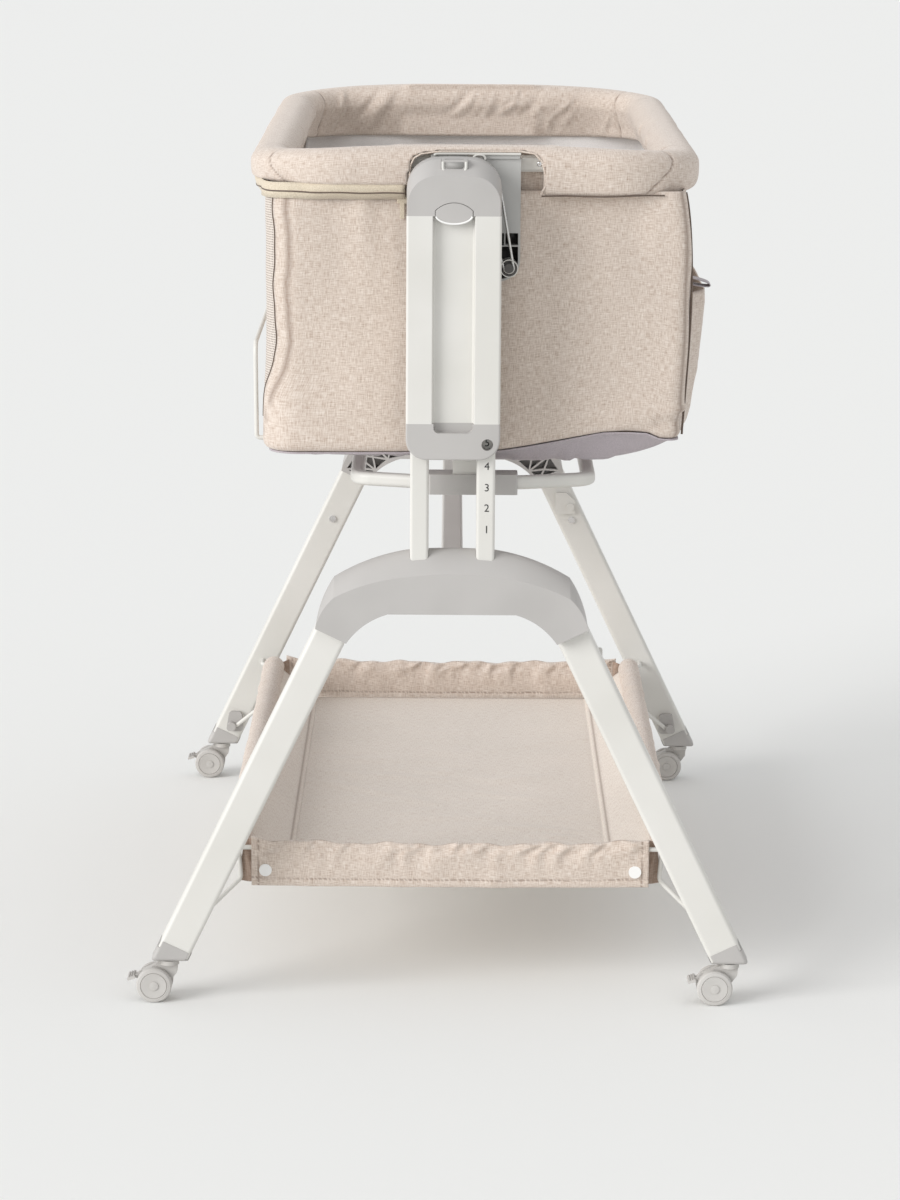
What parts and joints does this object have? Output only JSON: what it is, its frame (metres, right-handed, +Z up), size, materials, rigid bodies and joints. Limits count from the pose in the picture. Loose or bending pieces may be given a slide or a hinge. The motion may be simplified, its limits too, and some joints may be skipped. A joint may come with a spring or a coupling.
{
  "type": "bedside sleeper crib",
  "caption": "Rocking bedside crib: cloth bassinet on wire swing links between two height-sliding columns on arched legs with braked casters and a storage basket.",
  "frame": {"origin": "on the floor, midway between the four legs", "axes": "+Z up; +Y along the crib from the near end to the far end; +X across it, towards the side the bassinet is swung to at rest"},
  "size_m": [0.6149, 0.916, 0.844],
  "materials": {
    "off_white_plastic": "smooth moulded off-white plastic, satin",
    "off_white_metal": "powder-coated off-white steel tube, satin",
    "warm_grey_plastic": "smooth moulded warm grey plastic, satin",
    "caster_grey": "fine-textured grey moulded plastic",
    "bright_wire": "bright drawn steel wire",
    "screw_steel": "polished screw heads",
    "linen_fabric": "linen-look melange woven polyester, padded",
    "lilac_fabric": "plain grey-lilac lining cloth",
    "mesh_fabric": "open knitted mesh",
    "mattress_fabric": "soft pale knitted cover",
    "board_wood": "thin hardboard",
    "snap_white": "glossy white snap caps",
    "zip_dark": "dark moulded zip hardware"
  },
  "bodies": {
    "stand": {"near_arch_cover": "warm_grey_plastic", "far_arch_cover": "warm_grey_plastic", "near_left_leg": "off_white_metal", "near_right_leg": "off_white_metal", "far_left_leg": "off_white_metal", "far_right_leg": "off_white_metal", "leg_feet": "warm_grey_plastic", "near_posts": "off_white_metal", "far_posts": "off_white_metal", "stretcher_beam": "off_white_metal", "strap_clips": "warm_grey_plastic", "leg_screws": "screw_steel", "basket_cloth": "linen_fabric", "basket_crossbars": "off_white_metal", "basket_bows": "off_white_metal", "bow_brackets": "warm_grey_plastic", "basket_snaps": "snap_white"},
    "near_left_caster_swivel": {"near_left_caster_fork": "caster_grey"},
    "near_left_caster_roll": {"near_left_caster_wheels": "caster_grey"},
    "near_left_caster_brake": {"near_left_caster_pedal": "caster_grey"},
    "near_right_caster_swivel": {"near_right_caster_fork": "caster_grey"},
    "near_right_caster_roll": {"near_right_caster_wheels": "caster_grey"},
    "near_right_caster_brake": {"near_right_caster_pedal": "caster_grey"},
    "far_left_caster_swivel": {"far_left_caster_fork": "caster_grey"},
    "far_left_caster_roll": {"far_left_caster_wheels": "caster_grey"},
    "far_left_caster_brake": {"far_left_caster_pedal": "caster_grey"},
    "far_right_caster_swivel": {"far_right_caster_fork": "caster_grey"},
    "far_right_caster_roll": {"far_right_caster_wheels": "caster_grey"},
    "far_right_caster_brake": {"far_right_caster_pedal": "caster_grey"},
    "near_carriage": {"near_column_shell": "off_white_plastic", "near_top_cap": "warm_grey_plastic", "near_foot_cap": "warm_grey_plastic"},
    "near_button": {"near_release_button": "warm_grey_plastic"},
    "near_latch": {"near_swing_latch": "warm_grey_plastic"},
    "far_carriage": {"far_column_shell": "off_white_plastic", "far_top_cap": "warm_grey_plastic", "far_foot_cap": "warm_grey_plastic"},
    "far_button": {"far_release_button": "warm_grey_plastic"},
    "far_latch": {"far_swing_latch": "warm_grey_plastic"},
    "near_left_link": {"near_left_link": "bright_wire"},
    "near_right_link": {"near_right_link": "bright_wire"},
    "far_left_link": {"far_left_link": "bright_wire"},
    "far_right_link": {"far_right_link": "bright_wire"},
    "bassinet": {"near_bracket": "warm_grey_plastic", "far_bracket": "warm_grey_plastic", "link_discs": "warm_grey_plastic", "end_straps": "off_white_metal", "rim_tube": "off_white_metal", "rim_cover": "linen_fabric", "bassinet_walls": "linen_fabric", "mesh_side": "mesh_fabric", "base_cloth": "lilac_fabric", "mattress": "mattress_fabric", "floor_board": "board_wood", "lower_loop": "off_white_metal", "loop_sleeves": "warm_grey_plastic", "guard_wire": "off_white_metal", "side_pocket": "linen_fabric"},
    "zip_slider": {"zip_slider": "zip_dark"},
    "zip_pull": {"zip_pull": "zip_dark"}
  },
  "joints": [
    {"name": "near_left_caster_swivel", "type": "hinge", "parent": "stand", "child": "near_left_caster_swivel", "pos_m": [-0.278, -0.433, 0], "axis": [0, 0, 1], "continuous": true},
    {"name": "near_left_caster_roll", "type": "hinge", "parent": "near_left_caster_swivel", "child": "near_left_caster_roll", "pos_m": [-0.293, -0.433, 0.0176], "axis": [0, 1, 0], "continuous": true},
    {"name": "near_left_caster_brake", "type": "hinge", "parent": "near_left_caster_swivel", "child": "near_left_caster_brake", "pos_m": [-0.307, -0.433, 0.0246], "axis": [0, 1, 0], "range_deg": [-15, 0]},
    {"name": "near_right_caster_swivel", "type": "hinge", "parent": "stand", "child": "near_right_caster_swivel", "pos_m": [0.278, -0.433, 0], "axis": [0, 0, 1], "continuous": true},
    {"name": "near_right_caster_roll", "type": "hinge", "parent": "near_right_caster_swivel", "child": "near_right_caster_roll", "pos_m": [0.263, -0.433, 0.0176], "axis": [0, 1, 0], "continuous": true},
    {"name": "near_right_caster_brake", "type": "hinge", "parent": "near_right_caster_swivel", "child": "near_right_caster_brake", "pos_m": [0.249, -0.433, 0.0246], "axis": [0, 1, 0], "range_deg": [-15, 0]},
    {"name": "far_left_caster_swivel", "type": "hinge", "parent": "stand", "child": "far_left_caster_swivel", "pos_m": [-0.278, 0.433, 0], "axis": [0, 0, 1], "continuous": true},
    {"name": "far_left_caster_roll", "type": "hinge", "parent": "far_left_caster_swivel", "child": "far_left_caster_roll", "pos_m": [-0.293, 0.433, 0.0176], "axis": [0, 1, 0], "continuous": true},
    {"name": "far_left_caster_brake", "type": "hinge", "parent": "far_left_caster_swivel", "child": "far_left_caster_brake", "pos_m": [-0.307, 0.433, 0.0246], "axis": [0, 1, 0], "range_deg": [-15, 0]},
    {"name": "far_right_caster_swivel", "type": "hinge", "parent": "stand", "child": "far_right_caster_swivel", "pos_m": [0.278, 0.433, 0], "axis": [0, 0, 1], "continuous": true},
    {"name": "far_right_caster_roll", "type": "hinge", "parent": "far_right_caster_swivel", "child": "far_right_caster_roll", "pos_m": [0.263, 0.433, 0.0176], "axis": [0, 1, 0], "continuous": true},
    {"name": "far_right_caster_brake", "type": "hinge", "parent": "far_right_caster_swivel", "child": "far_right_caster_brake", "pos_m": [0.249, 0.433, 0.0246], "axis": [0, 1, 0], "range_deg": [-15, 0]},
    {"name": "near_height", "type": "slide", "parent": "stand", "child": "near_carriage", "axis": [0, 0, 1], "range_m": [-0.084, 0]},
    {"name": "near_button_press", "type": "slide", "parent": "near_carriage", "child": "near_button", "axis": [0, 1, 0], "range_m": [0, 0.003], "stiffness_N_per_m": 1000, "springref_m": -0.002},
    {"name": "near_latch_slide", "type": "slide", "parent": "near_carriage", "child": "near_latch", "axis": [0, 1, 0], "range_m": [0, 0.005]},
    {"name": "far_height", "type": "slide", "parent": "stand", "child": "far_carriage", "axis": [0, 0, 1], "range_m": [-0.084, 0]},
    {"name": "far_button_press", "type": "slide", "parent": "far_carriage", "child": "far_button", "axis": [0, -1, 0], "range_m": [0, 0.003], "stiffness_N_per_m": 1000, "springref_m": -0.002},
    {"name": "far_latch_slide", "type": "slide", "parent": "far_carriage", "child": "far_latch", "axis": [0, -1, 0], "range_m": [0, 0.005]},
    {"name": "near_left_swing", "type": "hinge", "parent": "near_carriage", "child": "near_left_link", "pos_m": [-0.033, -0.4062, 0.803], "axis": [0, 1, 0], "range_deg": [0, 30.09]},
    {"name": "near_right_swing", "type": "hinge", "parent": "near_carriage", "child": "near_right_link", "pos_m": [0.033, -0.4062, 0.803], "axis": [0, 1, 0], "range_deg": [0, 30.09]},
    {"name": "far_left_swing", "type": "hinge", "parent": "far_carriage", "child": "far_left_link", "pos_m": [-0.033, 0.4062, 0.803], "axis": [0, 1, 0], "range_deg": [0, 30.09]},
    {"name": "far_right_swing", "type": "hinge", "parent": "far_carriage", "child": "far_right_link", "pos_m": [0.033, 0.4062, 0.803], "axis": [0, 1, 0], "range_deg": [0, 30.09]},
    {"name": "bassinet_level", "type": "hinge", "parent": "near_right_link", "child": "bassinet", "pos_m": [0.053, -0.4062, 0.72864], "axis": [0, 1, 0], "range_deg": [-30.09, 0]},
    {"name": "zip_run", "type": "slide", "parent": "bassinet", "child": "zip_slider", "axis": [-1, 0, 0], "range_m": [0, 0.07]},
    {"name": "zip_pull_swing", "type": "hinge", "parent": "bassinet", "child": "zip_pull", "pos_m": [0.2255, -0.3125, 0.794], "axis": [0, 1, 0], "range_deg": [-70, 0]}
  ],
  "couplings": [
    {"joint": "far_height", "follows": "near_height", "ratio": 1},
    {"joint": "near_left_swing", "follows": "near_right_swing", "ratio": 1},
    {"joint": "far_left_swing", "follows": "near_right_swing", "ratio": 1},
    {"joint": "far_right_swing", "follows": "near_right_swing", "ratio": 1},
    {"joint": "bassinet_level", "follows": "near_right_swing", "ratio": -1}
  ]
}
